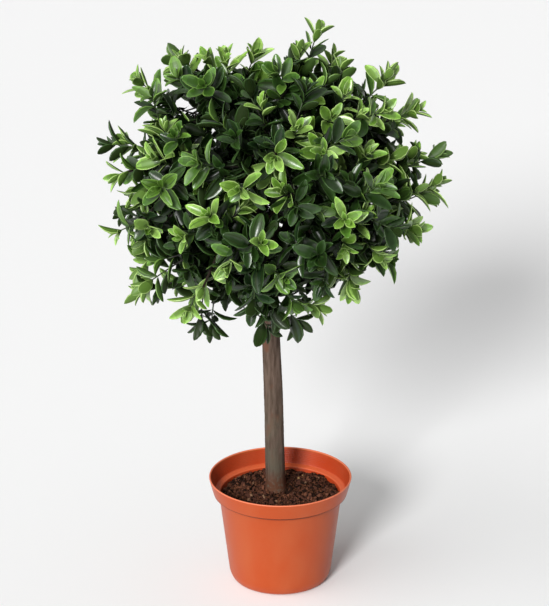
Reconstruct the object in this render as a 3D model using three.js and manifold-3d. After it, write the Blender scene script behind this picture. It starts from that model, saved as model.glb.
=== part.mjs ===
// Box ball topiary on a bare stem, an artificial plant in a plastic nursery pot.
// Millimetres, +Z up. The origin is the middle of the pot's flat underside, and -Y is the front.
import * as THREE from "three";
import { mergeVertices } from "three/addons/utils/BufferGeometryUtils.js";
import Module from "manifold-3d";

const wasm = await Module();
wasm.setup();

// ---- Driving dimensions -------------------------------------------------------------------

const clearance = 0.3; // gap between pieces that touch on the real plant
const finest = 0.04; // slivers thinner than this are cleared away after a cut

const pot = {
  height: 92,
  wall: 1.5,
  floor: 2.5,
  footRadius: 38.5,
  edgeRound: 4.6, // rounding between the underside and the side
  baseRadius: 42.9,
  shoulderZ: 76, // where the side meets the rim band
  shoulderRadius: 51.5,
  bandFootZ: 78.2,
  bandFootRadius: 55.2,
  rimRadius: 60,
  facets: 40,
};

const soil = {
  edgeZ: 75.4, // level at the pot's wall
  seatZ: 77.2, // level of the flat seat under the trunk
  heap: 1.8, // how far the soil banks up towards the trunk
  crumb: 2.2, // height of the lumps
  rings: [0.02, 0.2, 0.4, 0.6, 0.8, 1], // from the seat to the wall, as shares of the way
  facets: 32,
};

// The trunk's centre line from its flat cut on the soil to its tip inside the crown.
const trunk = {
  line: [
    [-3.5, 6, soil.seatZ + clearance],
    [-5, 4.6, 125],
    [-6.2, 3, 170],
    [-7.8, 1.4, 215],
    [-8.3, 0, 262],
    [-6.2, -0.6, 322],
  ],
  footRadius: 8.1,
  tipRadius: 5.6,
  flare: 0.9, // extra radius at the very foot
  flareLength: 7,
  sides: 14,
  steps: 12,
};

// The crown: shoots that end on a rounded, slightly boxy ball round its centre. It swells or
// hollows a little towards some directions.
const crown = {
  centre: new THREE.Vector3(-5, 0, 352),
  across: 114, // from the centre to a shoot's tip, level
  up: 90, // and straight up
  squareness: 2.5, // 2 is an ellipse
  seed: 4117,
  shoots: 128,
  lowestShoot: -0.9, // sine of the lowest shoot's elevation
  uneven: 0.065, // how far a shoot's length strays from the ball
  swellings: [
    { azimuth: -158, elevation: -38, gain: 0.13, focus: 5 },
    { azimuth: -30, elevation: -48, gain: -0.12, focus: 6 },
    { azimuth: 168, elevation: 36, gain: 0.08, focus: 9 },
  ],
};

// Shoots that stand out of the ball by themselves: direction, and the distance of the tip.
const strayShoots = [
  { azimuth: 51, elevation: 64, reach: 116 },
  { azimuth: 155, elevation: 48, reach: 116 },
  { azimuth: 166, elevation: 34, reach: 126 },
  { azimuth: 175, elevation: 12, reach: 121 },
  { azimuth: 2, elevation: 9, reach: 122 },
  { azimuth: 0, elevation: -1, reach: 120 },
  { azimuth: 10, elevation: 25, reach: 119 },
  { azimuth: -163, elevation: -37, reach: 130 },
  { azimuth: -141, elevation: -59, reach: 119 },
  { azimuth: -65, elevation: -67, reach: 106 },
  { azimuth: -96, elevation: -69, reach: 111 },
];

const boughs = {
  count: 9,
  lowest: -0.72, // sine of the lowest bough's elevation
  rootLowZ: 268,
  rootHighZ: 310,
  rise: 0.3, // how steeply a side bough leaves the trunk, before it bends to its mass
  length: 0.44, // how far out a bough reaches, as a share of the crown there
  rootRadius: 2.5,
  tipRadius: 1.7,
  sides: 6,
  steps: 4,
};

const foliage = {
  // A mass's stem runs on from its bough and ends as a shoot. Twigs leave it at these levels,
  // given as shares of the crown's reach there.
  levels: [0.47, 0.54, 0.61, 0.68, 0.75],
  stemRadius: 1.9,
  stemTipRadius: 1.2,
  collar: 3.4, // length of the stretch of stem that a twig grows from
  collarLength: 6, // and how far along a twig its own section begins
  twigRadius: 1.35,
  twigTipRadius: 1.1,
  outset: 20, // a patch faces a shoot's end if a point this far off it lies near the end
  joint: 2, // length of the stretch of twig that carries a pair of leaves
  // Pairs of leaves, from the tip back along the twig.
  pairs: [
    { back: 0, splay: 38, length: 26, width: 14 },
    { back: 10, splay: 61, length: 34, width: 18.5 },
    { back: 27, splay: 72, length: 32, width: 17.5 },
  ],
  stemPairs: 2, // how many of the pairs a stem's own shoot has
  curl: 0.08, // how far a leaf's tip bends back, as a share of its length
  // Sizes and added splays tried before a leaf is left out.
  tries: [
    [1, 0],
    [0.95, -14],
    [0.95, 14],
    [0.8, -22],
    [0.8, 20],
    [0.66, 0],
  ],
  leastGap: 0.2, // twigs and leaves that don't meet stay this far apart
};

const goldenAngle = 137.508;

// ---- Colours and finishes -----------------------------------------------------------------

const finish = (color, roughness) => new THREE.MeshStandardMaterial({ color, roughness, metalness: 0 });
const potPlastic = finish(0xc9623c, 0.5);
const peat = finish(0x462c20, 0.95);
const bark = finish(0x66594e, 0.8);
const darkBark = finish(0x2b2a20, 0.7);
const boxLeaf = finish(0x4f7a34, 0.4);

// ---- Small tools --------------------------------------------------------------------------

// Repeatable draws between 0 and 1.
function drawsFrom(seed) {
  let state = seed >>> 0;
  const draw = () => {
    state = (Math.imul(state, 1664525) + 1013904223) >>> 0;
    return state / 2 ** 32;
  };
  draw();
  draw();
  return draw;
}

const radians = THREE.MathUtils.degToRad;

// The unit vector at an azimuth from +X towards +Y and an elevation above level, in degrees.
function towards(azimuth, elevation) {
  const a = radians(azimuth);
  const e = radians(elevation);
  return new THREE.Vector3(Math.cos(a) * Math.cos(e), Math.sin(a) * Math.cos(e), Math.sin(e));
}

// Point number k of n, spread evenly from straight up down to the elevation with that sine.
function spreadDirection(k, n, lowest) {
  const sine = 1 - ((k + 0.5) / n) * (1 - lowest);
  return towards(k * goldenAngle, THREE.MathUtils.radToDeg(Math.asin(sine)));
}

const flat = (points) => points.flatMap((p) => [p.x, p.y, p.z]);

const middleOf = (points) =>
  points.reduce((sum, p) => sum.addScaledVector(p, 1 / points.length), new THREE.Vector3());

function geometryOf(positions, triangles) {
  const made = new THREE.BufferGeometry();
  made.setAttribute("position", new THREE.Float32BufferAttribute(positions, 3));
  made.setIndex(triangles);
  return made;
}

// A closed geometry as a solid that can be joined and cut.
function solidOf(geometry) {
  const bare = geometry.clone();
  bare.deleteAttribute("normal");
  bare.deleteAttribute("uv");
  const merged = mergeVertices(bare, 1e-4);
  return new wasm.Manifold(
    new wasm.Mesh({
      numProp: 3,
      vertProperties: new Float32Array(merged.attributes.position.array),
      triVerts: new Uint32Array(merged.index.array),
    }),
  );
}

// The largest body of a solid as a geometry: loose scraps and sealed hollows are left out.
function geometryFrom(solid) {
  const body = solid.decompose().reduce((a, b) => (a.volume() > b.volume() ? a : b));
  const mesh = body.simplify(finest).getMesh();
  return geometryOf(Array.from(mesh.vertProperties), Array.from(mesh.triVerts));
}

// A limb of many-sided section along a curve: radiusAt(share, angle) gives its radius.
function limb(curve, steps, sides, radiusAt) {
  const points = [];
  const triangles = [];
  const side = new THREE.Vector3(1, 0, 0);
  for (let i = 0; i <= steps; i++) {
    const share = i / steps;
    const along = curve.getTangent(share);
    side.addScaledVector(along, -side.dot(along)).normalize();
    const other = along.clone().cross(side);
    for (let k = 0; k < sides; k++) {
      const angle = (2 * Math.PI * k) / sides;
      const radius = radiusAt(share, angle);
      const point = curve.getPoint(share).addScaledVector(side, radius * Math.cos(angle));
      points.push(point.addScaledVector(other, radius * Math.sin(angle)));
    }
  }
  const last = steps * sides;
  for (let k = 0; k < sides; k++) {
    const next = (k + 1) % sides;
    for (let a = k, b = next; a < last; a += sides, b += sides) {
      triangles.push(a, b, b + sides, a, b + sides, a + sides);
    }
  }
  for (let k = 1; k < sides - 1; k++) {
    triangles.push(0, k + 1, k, last, last + k, last + k + 1);
  }
  return geometryOf(flat(points), triangles);
}

const group = new THREE.Group();

function addPiece(name, geometry, material) {
  geometry.computeVertexNormals();
  const mesh = new THREE.Mesh(geometry, material);
  mesh.name = name;
  group.add(mesh);
}

// ---- Pot ----------------------------------------------------------------------------------

// The pot's inner radius at a height, below the ledge inside the rim band.
function innerRadius(z) {
  const share = (z - pot.edgeRound) / (pot.shoulderZ - pot.edgeRound);
  return pot.baseRadius - pot.wall + share * (pot.shoulderRadius - pot.baseRadius);
}

function potGeometry() {
  const outside = [
    [0, 0],
    [pot.footRadius, 0],
    [pot.baseRadius - 1.2, pot.edgeRound * 0.32],
    [pot.baseRadius, pot.edgeRound],
    [pot.shoulderRadius, pot.shoulderZ],
    [pot.bandFootRadius - 0.6, pot.bandFootZ - 0.8],
    [pot.bandFootRadius, pot.bandFootZ],
    [pot.rimRadius, pot.height - 1],
    [pot.rimRadius - 0.4, pot.height],
  ];
  const inside = [
    [pot.rimRadius - pot.wall, pot.height],
    [pot.rimRadius - pot.wall - 0.4, pot.height - 1],
    [pot.bandFootRadius - pot.wall, pot.bandFootZ + 0.4],
    [innerRadius(pot.shoulderZ), pot.shoulderZ + 0.4],
    [innerRadius(pot.edgeRound), pot.edgeRound],
    [pot.footRadius, pot.floor],
    [0, pot.floor],
  ];
  const profile = [...outside, ...inside].map(([r, z]) => new THREE.Vector2(r, z));
  return new THREE.LatheGeometry(profile, pot.facets).rotateX(Math.PI / 2);
}

// ---- Soil ---------------------------------------------------------------------------------

// The fill: its top runs in rings from a flat seat under the trunk out to the pot's wall.
function soilGeometry() {
  const foot = new THREE.Vector3(trunk.line[0][0], trunk.line[0][1], 0);
  const seatRadius = trunk.footRadius + trunk.flare + 2 * clearance;
  const edgeRadius = innerRadius(soil.edgeZ - soil.crumb) - clearance;
  const draw = drawsFrom(crown.seed);
  const points = [];
  const addRing = (centre, radius, heightOf) => {
    for (let k = 0; k < soil.facets; k++) {
      const angle = (2 * Math.PI * k) / soil.facets;
      const x = centre.x + radius * Math.cos(angle);
      points.push(new THREE.Vector3(x, centre.y + radius * Math.sin(angle), heightOf()));
    }
  };
  addRing(foot, seatRadius, () => soil.seatZ);
  for (const share of soil.rings) {
    const level = soil.edgeZ + soil.heap * (1 - share) ** 1.5;
    const radius = seatRadius + (edgeRadius - seatRadius) * share;
    const centre = foot.clone().multiplyScalar(1 - share);
    addRing(centre, radius, () => level + soil.crumb * (draw() - 0.5));
  }
  const middle = new THREE.Vector3();
  addRing(middle, innerRadius(pot.edgeRound) - clearance, () => pot.edgeRound + clearance);
  addRing(middle, pot.footRadius - clearance, () => pot.floor + clearance);
  const top = points.push(foot.clone().setZ(soil.seatZ)) - 1;
  const bottom = points.push(middle.setZ(pot.floor + clearance)) - 1;
  const lastRing = top - soil.facets;
  const triangles = [];
  for (let k = 0; k < soil.facets; k++) {
    const next = (k + 1) % soil.facets;
    triangles.push(top, k, next, bottom, lastRing + next, lastRing + k);
    for (let a = k, b = next; a < lastRing; a += soil.facets, b += soil.facets) {
      triangles.push(a, a + soil.facets, b + soil.facets, a, b + soil.facets, b);
    }
  }
  return geometryOf(flat(points), triangles);
}

// ---- Trunk --------------------------------------------------------------------------------

const trunkLine = new THREE.CatmullRomCurve3(trunk.line.map((p) => new THREE.Vector3(...p)));

// The trunk's radius with its taper, the flare at its foot and shallow flutes.
function trunkRadius(share, angle) {
  const taper = trunk.footRadius + (trunk.tipRadius - trunk.footRadius) * share ** 2.2;
  const flare = trunk.flare * Math.exp((-share * trunkLine.getLength()) / trunk.flareLength);
  const flutes = 0.22 * Math.sin(3 * angle + 5 * share) + 0.12 * Math.sin(5 * angle - 9 * share);
  return taper + flare + flutes;
}

// The trunk with its foot cut level, or one grown by a gap to cut what stands against it.
function trunkSolid(gap) {
  const radiusAt = (share, angle) => trunkRadius(share, angle) + gap;
  const grown = limb(trunkLine, trunk.steps, trunk.sides, radiusAt);
  const corners = grown.getAttribute("position");
  for (let k = 0; k < trunk.sides; k++) corners.setZ(k, trunk.line[0][2]);
  return solidOf(grown);
}

// ---- Boughs -------------------------------------------------------------------------------

const boughDirections = Array.from({ length: boughs.count }, (_, k) =>
  spreadDirection(k, boughs.count, boughs.lowest),
);

// The distance from the crown's centre to a shoot's tip in a direction.
function crownReach(direction) {
  const level = Math.hypot(direction.x, direction.y) / crown.across;
  const upright = Math.abs(direction.z) / crown.up;
  const q = crown.squareness;
  let reach = (level ** q + upright ** q) ** (-1 / q);
  for (const { azimuth, elevation, gain, focus } of crown.swellings) {
    const near = direction.dot(towards(azimuth, elevation)) - 1;
    reach *= 1 + gain * Math.exp(focus * near);
  }
  return reach;
}

const inCrown = (direction, share) =>
  crown.centre.clone().addScaledVector(direction, share * crownReach(direction));

// A curve from a start, leaving it in a heading, to an end.
function bowed(start, heading, end) {
  const bend = start.clone().addScaledVector(heading, 0.4 * start.distanceTo(end));
  return new THREE.QuadraticBezierCurve3(start, bend, end);
}

// The first bough carries the trunk on from its tip. The others leave its side, each lower down.
function boughLine(k) {
  const end = inCrown(boughDirections[k], boughs.length);
  if (k === 0) {
    const upTrunk = trunkLine.getTangent(1);
    return bowed(trunkLine.getPoint(1).addScaledVector(upTrunk, clearance), upTrunk, end);
  }
  const rootZ = boughs.rootHighZ - ((boughs.rootHighZ - boughs.rootLowZ) * (k - 1)) / (boughs.count - 2);
  const root = trunkLine.getPoints(200).find((point) => point.z >= rootZ);
  return bowed(root, boughDirections[k].clone().setZ(boughs.rise).normalize(), end);
}

const boughRadius = (t) => boughs.rootRadius + (boughs.tipRadius - boughs.rootRadius) * t;

// ---- Masses of foliage --------------------------------------------------------------------

const nearestBough = (direction) =>
  boughDirections.reduce((best, d, k, all) => (d.dot(direction) > all[best].dot(direction) ? k : best), 0);

// A mass keeps to the directions from the crown's centre that lie nearest to its own bough.
function keepsToSpace(mass, points) {
  const own = boughDirections[mass];
  const borders = boughDirections.filter((d) => d !== own).map((d) => own.clone().sub(d).normalize());
  return points.every((point) => {
    const fromCentre = point.clone().sub(crown.centre);
    return borders.every((border) => fromCentre.dot(border) > foliage.leastGap);
  });
}

const touches = (solid, obstacles) =>
  obstacles.some((obstacle) => obstacle.minGap(solid, foliage.leastGap) < foliage.leastGap);

// All shoots of the crown: the direction and the tip of each, and its own draws.
function shootList() {
  const list = [];
  for (let k = 0; k < crown.shoots; k++) {
    const draw = drawsFrom(crown.seed + 977 * k);
    const direction = spreadDirection(k, crown.shoots, crown.lowestShoot);
    const longer = 1 + crown.uneven * (2 * draw() - 1);
    list.push({ draw, direction, end: inCrown(direction, longer) });
  }
  for (const { azimuth, elevation, reach } of strayShoots) {
    const draw = drawsFrom(crown.seed + 977 * list.length);
    const direction = towards(azimuth, elevation);
    list.push({ draw, direction, end: crown.centre.clone().addScaledVector(direction, reach) });
  }
  return list;
}

// The limbs of a mass are four-sided. A ring of four corners stands at each stop along one, and
// the patch between two rings may carry a leaf or another limb in place of its two faces.
// Corners 0 to 3 of these faces are the patch's, seen from outside, and 4 to 8 a leaf's own.
const patchFaces = [
  [0, 1, 2],
  [0, 2, 3],
];
const footFaces = [
  [0, 2, 1],
  [0, 3, 2],
];
const leafFaces = [
  [3, 6, 2],
  [3, 5, 6],
  [3, 4, 5],
  [2, 6, 7],
  [2, 7, 8],
  [0, 1, 6],
  [0, 6, 5],
  [0, 5, 4],
  [1, 7, 6],
  [1, 8, 7],
  [0, 4, 3],
  [1, 2, 8],
];

function addFaces(mesh, faces, numbers) {
  for (const face of faces) mesh.triangles.push(...face.map((corner) => numbers[corner]));
}

const addPoints = (mesh, points) => points.map((point) => mesh.points.push(point) - 1);

// Adds a limb to a mesh, from the corners it grows from, with the leaves and limbs it carries.
function addLimb(mesh, root, { rings, leaves, limbs }) {
  let lower = root;
  rings.forEach((ring, i) => {
    const upper = addPoints(mesh, ring.corners);
    for (let k = 0; k < 4; k++) {
      const next = (k + 1) % 4;
      const patch = [lower[k], lower[next], upper[next], upper[k]];
      const place = `${i},${k}`;
      if (limbs?.has(place)) {
        addLimb(mesh, patch, limbs.get(place));
      } else if (leaves?.has(place)) {
        addFaces(mesh, leafFaces, [...patch, ...addPoints(mesh, leaves.get(place))]);
      } else {
        addFaces(mesh, patchFaces, patch);
      }
    }
    lower = upper;
  });
  addFaces(mesh, patchFaces, lower);
}

// A limb by itself, closed at its root.
function limbGeometry(root, growth) {
  const mesh = { points: [], triangles: [] };
  const numbers = addPoints(mesh, root);
  addFaces(mesh, footFaces, numbers);
  addLimb(mesh, numbers, growth);
  return geometryOf(flat(mesh.points), mesh.triangles);
}

// The rings of a limb along its line, from stops with a share of the line, a radius and a turn.
function ringsAlong(line, stops, firstSide) {
  const side = firstSide.clone();
  return stops.map(({ share, radius, turn }) => {
    const along = line.getTangent(share);
    const centre = line.getPoint(share);
    side.addScaledVector(along, -side.dot(along)).normalize();
    const other = along.clone().cross(side);
    const corners = [0, 1, 2, 3].map((k) => {
      const angle = (Math.PI / 2) * k + turn;
      const corner = centre.clone().addScaledVector(side, radius * Math.cos(angle));
      return corner.addScaledVector(other, radius * Math.sin(angle));
    });
    return { centre, along, corners };
  });
}

function patchBetween(lower, upper, k) {
  const next = (k + 1) % 4;
  const corners = [lower.corners[k], lower.corners[next], upper.corners[next], upper.corners[k]];
  const middle = middleOf(corners);
  const normal = middle.clone().sub(middleOf([lower.centre, upper.centre])).normalize();
  return { corners, middle, normal };
}

// Two stops for each pair of leaves of a shoot, from the innermost pair to the tip.
function leafStops(pairs, length, radius, turn) {
  return [...pairs].reverse().flatMap(({ back }) => [
    { share: 1 - (back + foliage.joint) / length, radius, turn },
    { share: 1 - back / length, radius, turn },
  ]);
}

// The stem of a mass: from the bough's tip to the tip of the shoot nearest to its direction.
function growStem(shoot, boughCurve) {
  const heading = boughCurve.getTangent(1);
  const start = boughCurve.getPoint(1).addScaledVector(heading, clearance + 0.1);
  const line = bowed(start, heading, shoot.end);
  const length = line.getLength();
  const stops = [{ share: 0, radius: foliage.stemRadius, turn: 0 }];
  let turn = 0;
  for (const level of foliage.levels) {
    const share = (level - boughs.length) / (1 - boughs.length);
    const radius = foliage.stemRadius + (foliage.stemTipRadius - foliage.stemRadius) * share;
    stops.push({ share, radius, turn }, { share: share + foliage.collar / length, radius, turn });
    turn += Math.PI / 4;
  }
  const pairs = foliage.pairs.slice(0, foliage.stemPairs);
  stops.push(...leafStops(pairs, length, foliage.stemTipRadius, turn));
  const firstSide = new THREE.Vector3(0, 0, 1).cross(heading);
  firstSide.applyAxisAngle(heading, Math.PI * shoot.draw());
  const [root, ...rings] = ringsAlong(line, stops, firstSide);
  const solid = solidOf(limbGeometry(root.corners, { rings }));
  return { ...shoot, root, pairs, rings, solid, leaves: new Map(), limbs: new Map() };
}

// The patches of a stem that twigs may grow from: four at each level.
function stemPatches(stem) {
  return foliage.levels.flatMap((_, level) =>
    [0, 1, 2, 3].map((k) => {
      const i = 2 * level + 1;
      return { place: `${i},${k}`, ...patchBetween(stem.rings[i - 1], stem.rings[i], k) };
    }),
  );
}

// A twig from the nearest free patch of the stem that gives it a clear way to its end.
function growTwig(mass, shoot, stem, patches, obstacles) {
  const distance = ({ middle, normal }) =>
    middle.clone().addScaledVector(normal, foliage.outset).distanceTo(shoot.end);
  const free = patches.filter(({ place }) => !stem.limbs.has(place));
  for (const patch of free.sort((a, b) => distance(a) - distance(b))) {
    const straight = shoot.end.clone().sub(patch.middle);
    const line = bowed(patch.middle, straight.normalize().add(patch.normal).normalize(), shoot.end);
    const length = line.getLength();
    const stops = [
      { share: foliage.collarLength / length, radius: foliage.twigRadius, turn: 0 },
      ...leafStops(foliage.pairs, length, foliage.twigTipRadius, 0),
    ];
    const rings = ringsAlong(line, stops, patch.corners[0].clone().sub(patch.middle));
    if (!keepsToSpace(mass, rings.flatMap((ring) => ring.corners))) continue;
    const solid = solidOf(limbGeometry(rings[0].corners, { rings: rings.slice(1) }));
    if (touches(solid, obstacles)) continue;
    const twig = { ...shoot, pairs: foliage.pairs, rings, solid, leaves: new Map() };
    stem.limbs.set(patch.place, twig);
    return twig;
  }
  return null;
}

// The five free points of a leaf on a patch, which points along and shows its face.
function leafPoints(patch, along, face, length, width) {
  const side = face.clone().cross(along);
  const place = (a, s, f) => {
    const point = patch.middle.clone().addScaledVector(along, a * length);
    return point.addScaledVector(side, s * width).addScaledVector(face, f * length);
  };
  return [
    place(0.34, -0.45, 0),
    place(0.68, -0.4, 0),
    place(1, 0, -foliage.curl),
    place(0.68, 0.4, 0),
    place(0.34, 0.45, 0),
  ];
}

// Lays a shoot's pairs of leaves on its last rings, where they have room among the obstacles.
function placeLeaves(mass, shoot, obstacles) {
  const others = obstacles.filter((obstacle) => obstacle !== shoot.solid);
  shoot.pairs.forEach((pair, number) => {
    const i = shoot.rings.length - 1 - 2 * number;
    for (const k of [number % 2, (number % 2) + 2]) {
      const patch = patchBetween(shoot.rings[i - 1], shoot.rings[i], k);
      const upTwig = shoot.rings[i - 1].along;
      const size = 0.92 + 0.16 * shoot.draw();
      const splay = pair.splay + 16 * (shoot.draw() - 0.5);
      for (const [shrink, opened] of foliage.tries) {
        const angle = radians(splay + opened);
        const along = upTwig.clone().multiplyScalar(Math.cos(angle));
        along.addScaledVector(patch.normal, Math.sin(angle));
        const face = upTwig.clone().multiplyScalar(Math.sin(angle));
        face.addScaledVector(patch.normal, -Math.cos(angle));
        const scale = size * shrink;
        const points = leafPoints(patch, along, face, scale * pair.length, scale * pair.width);
        if (!keepsToSpace(mass, points)) continue;
        const corners = flat([...patch.corners, ...points]);
        const solid = solidOf(geometryOf(corners, [...leafFaces, ...footFaces].flat()));
        if (touches(solid, others)) continue;
        others.push(solid);
        obstacles.push(solid);
        shoot.leaves.set(`${i},${k}`, points);
        break;
      }
    }
  });
}

// A mass: its stem, the twigs that grow from the stem to the other shoots, and their leaves.
function massGeometry(mass, boughCurve, limbSolids) {
  const nearness = ({ direction }) => direction.dot(boughDirections[mass]);
  const shoots = shootList().filter((shoot) => nearestBough(shoot.direction) === mass);
  const [first, ...rest] = shoots.sort((a, b) => nearness(b) - nearness(a));
  const stem = growStem(first, boughCurve);
  const patches = stemPatches(stem);
  const obstacles = [...limbSolids, stem.solid];
  const grown = [];
  for (const shoot of rest.reverse()) {
    const twig = growTwig(mass, shoot, stem, patches, obstacles);
    if (!twig) continue;
    grown.push(twig);
    obstacles.push(twig.solid);
  }
  for (const shoot of [...grown, stem]) placeLeaves(mass, shoot, obstacles);
  return limbGeometry(stem.root.corners, stem);
}

// ---- The whole plant ----------------------------------------------------------------------

addPiece("pot", potGeometry(), potPlastic);
addPiece("soil", soilGeometry(), peat);
addPiece("trunk", geometryFrom(trunkSolid(0)), bark);

const trunkCutter = trunkSolid(clearance + 0.05);
const boughLines = boughDirections.map((_, k) => boughLine(k));
const boughSolids = boughLines.map((line) =>
  solidOf(limb(line, boughs.steps, boughs.sides, boughRadius)).subtract(trunkCutter),
);
boughLines.forEach((line, k) => {
  const number = String(k + 1).padStart(2, "0");
  addPiece(`bough_${number}`, geometryFrom(boughSolids[k]), darkBark);
  addPiece(`foliage_${number}`, massGeometry(k, line, [trunkCutter, ...boughSolids]), boxLeaf);
});

export default group;
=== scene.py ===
# Box ball topiary on a bare stem in a nursery pot, dressed with bark, twigs and leaves.
# Sizes are in millimetres until makePiece turns them into metres. -Y is the front.
import math

import bpy
import numpy as np
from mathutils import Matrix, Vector


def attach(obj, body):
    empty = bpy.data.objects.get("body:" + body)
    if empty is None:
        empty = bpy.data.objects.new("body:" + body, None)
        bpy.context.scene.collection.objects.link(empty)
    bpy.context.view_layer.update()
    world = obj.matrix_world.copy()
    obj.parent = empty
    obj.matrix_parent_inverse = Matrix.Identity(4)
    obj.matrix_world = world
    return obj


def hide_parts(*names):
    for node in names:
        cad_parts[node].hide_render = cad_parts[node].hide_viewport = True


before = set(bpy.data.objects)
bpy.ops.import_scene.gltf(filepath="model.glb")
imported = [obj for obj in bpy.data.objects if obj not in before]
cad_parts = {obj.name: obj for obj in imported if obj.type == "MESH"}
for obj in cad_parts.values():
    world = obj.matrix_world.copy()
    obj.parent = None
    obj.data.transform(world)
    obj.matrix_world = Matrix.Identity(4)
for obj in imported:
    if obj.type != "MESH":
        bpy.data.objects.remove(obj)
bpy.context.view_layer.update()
print("frame loaded:", len(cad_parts), "nodes")

millimetre = 0.001
goldenAngle = 137.508


# the value a share of the way from the first of a pair to the second
def between(pair, share):
    return pair[0] + (pair[1] - pair[0]) * share


# a vector over its own length
def unit(v):
    return v / np.linalg.norm(v, axis=-1, keepdims=True)


# the unit vector at an azimuth from +X towards +Y and an elevation above level, in degrees
def towards(azimuth, elevation):
    a, e = math.radians(azimuth), math.radians(elevation)
    return np.array([math.cos(a) * math.cos(e), math.sin(a) * math.cos(e), math.sin(e)])


# the direction an angle on from one side towards another: side cos + other sin
def turnedOn(side, other, angle):
    return side * np.cos(angle)[..., None] + other * np.sin(angle)[..., None]


# a value times 1 + gain exp(focus (cosine - 1)) for each place that the direction is near
def swelled(value, direction, places):
    for azimuth, elevation, gain, focus in places:
        value = value * (1 + gain * np.exp(focus * (direction @ towards(azimuth, elevation) - 1)))
    return value


# directions spread evenly from straight up down to the elevation with the lowest sine:
# each is the golden angle round from the last, and their sines go down in even steps
def spreadDirections(count, lowest):
    k = np.arange(count)
    sine = 1 - (k + 0.5) / count * (1 - lowest)
    azimuth = np.radians(k * goldenAngle)
    level = np.sqrt(1 - sine**2)
    return np.stack([level * np.cos(azimuth), level * np.sin(azimuth), sine], -1)


# repeatable draws between 0 and 1: state = 1664525 state + 1013904223, on 32 bits
def drawsFrom(seed):
    state = seed

    def draw():
        nonlocal state
        state = (state * 1664525 + 1013904223) % 2**32
        return state / 2**32

    draw()
    draw()
    return draw


# heights dealt to the corners of a unit grid by the broken part of a large sine, blended
# across each cell by 3t² - 2t³; the grid closes on itself after wrap cells along x
def patchyNoise(x, y, seed, wrap=10**6):
    def corner(i, j):
        n = np.sin((i % wrap) * 127.1 + j * 311.7 + seed * 74.7) * 43758.5453
        return n - np.floor(n)

    i, j = np.floor(x), np.floor(y)
    u, v = x - i, y - j
    u, v = u * u * (3 - 2 * u), v * v * (3 - 2 * v)
    low = corner(i, j) * (1 - u) + corner(i + 1, j) * u
    high = corner(i, j + 1) * (1 - u) + corner(i + 1, j + 1) * u
    return low * (1 - v) + high * v


# the quads between neighbouring rows of points, where each row closes into a ring
def ringQuads(rows, around):
    r, k = np.meshgrid(np.arange(rows - 1), np.arange(around), indexing="ij")
    a = r * around + k
    b = r * around + (k + 1) % around
    return np.stack([a, b, b + around, a + around], -1).reshape(-1, 4)


# those quads, and the faces that close the first ring and the last
def closedRings(rows, around):
    k = np.arange(around)[None]
    return [ringQuads(rows, around), k[:, ::-1], k + (rows - 1) * around]


# angles evenly round a full turn
def fullTurn(count):
    return 2 * np.pi * np.arange(count) / count


# points round the upright axis: x = r cos a, y = r sin a
def aboutAxis(r, angle, z):
    return np.stack([r * np.cos(angle), r * np.sin(angle), z + 0 * r * angle], -1)


# points on a quadratic curve, (1-t)² start + 2t(1-t) bend + t² end, and the unit headings
# there, (1-t)(bend - start) + t(end - bend)
def alongLimb(limbs, t):
    start, bend, end = (limbs[..., k, :][..., None, :] for k in range(3))
    t = t[..., None]
    heading = unit((1 - t) * (bend - start) + t * (end - bend))
    return (1 - t) ** 2 * start + 2 * t * (1 - t) * bend + t**2 * end, heading


# the unit direction of the part of aside that is square to along
def squareTo(along, aside):
    return unit(aside - along * (along * aside).sum(-1, keepdims=True))


# a limb from a start, leaving it in a heading, to an end: its bend stands off along the
# heading by a share of its length
def bowed(start, heading, end):
    return np.array([start, start + crown["bow"] * np.linalg.norm(end - start) * heading, end])


# an object in the scene, at the origin
def addObject(name, data):
    made = bpy.data.objects.new(name, data)
    bpy.context.scene.collection.objects.link(made)
    return made


# a mesh of points and lists of faces, where choice gives the number of each face's material
def makePiece(name, points, faces, materials, choice=None, smooth=True):
    mesh = bpy.data.meshes.new(name)
    listed = [face for part in faces for face in part.tolist()]
    mesh.from_pydata((points * millimetre).tolist(), [], listed)
    for material in materials:
        mesh.materials.append(material)
    if choice is not None:
        mesh.polygons.foreach_set("material_index", choice.astype(np.int32))
    mesh.polygons.foreach_set("use_smooth", np.full(len(listed), smooth))
    mesh.update()
    print(f"{name}: {len(listed)} faces")
    return addObject(name, mesh)


# a display colour of 0 to 255 as the linear colour that a shader takes, with a share of
# its light: ((c / 255 + 0.055) / 1.055)^2.4
def paint(colour, share=1):
    return (*(share * ((c / 255 + 0.055) / 1.055) ** 2.4 for c in colour), 1)


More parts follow.
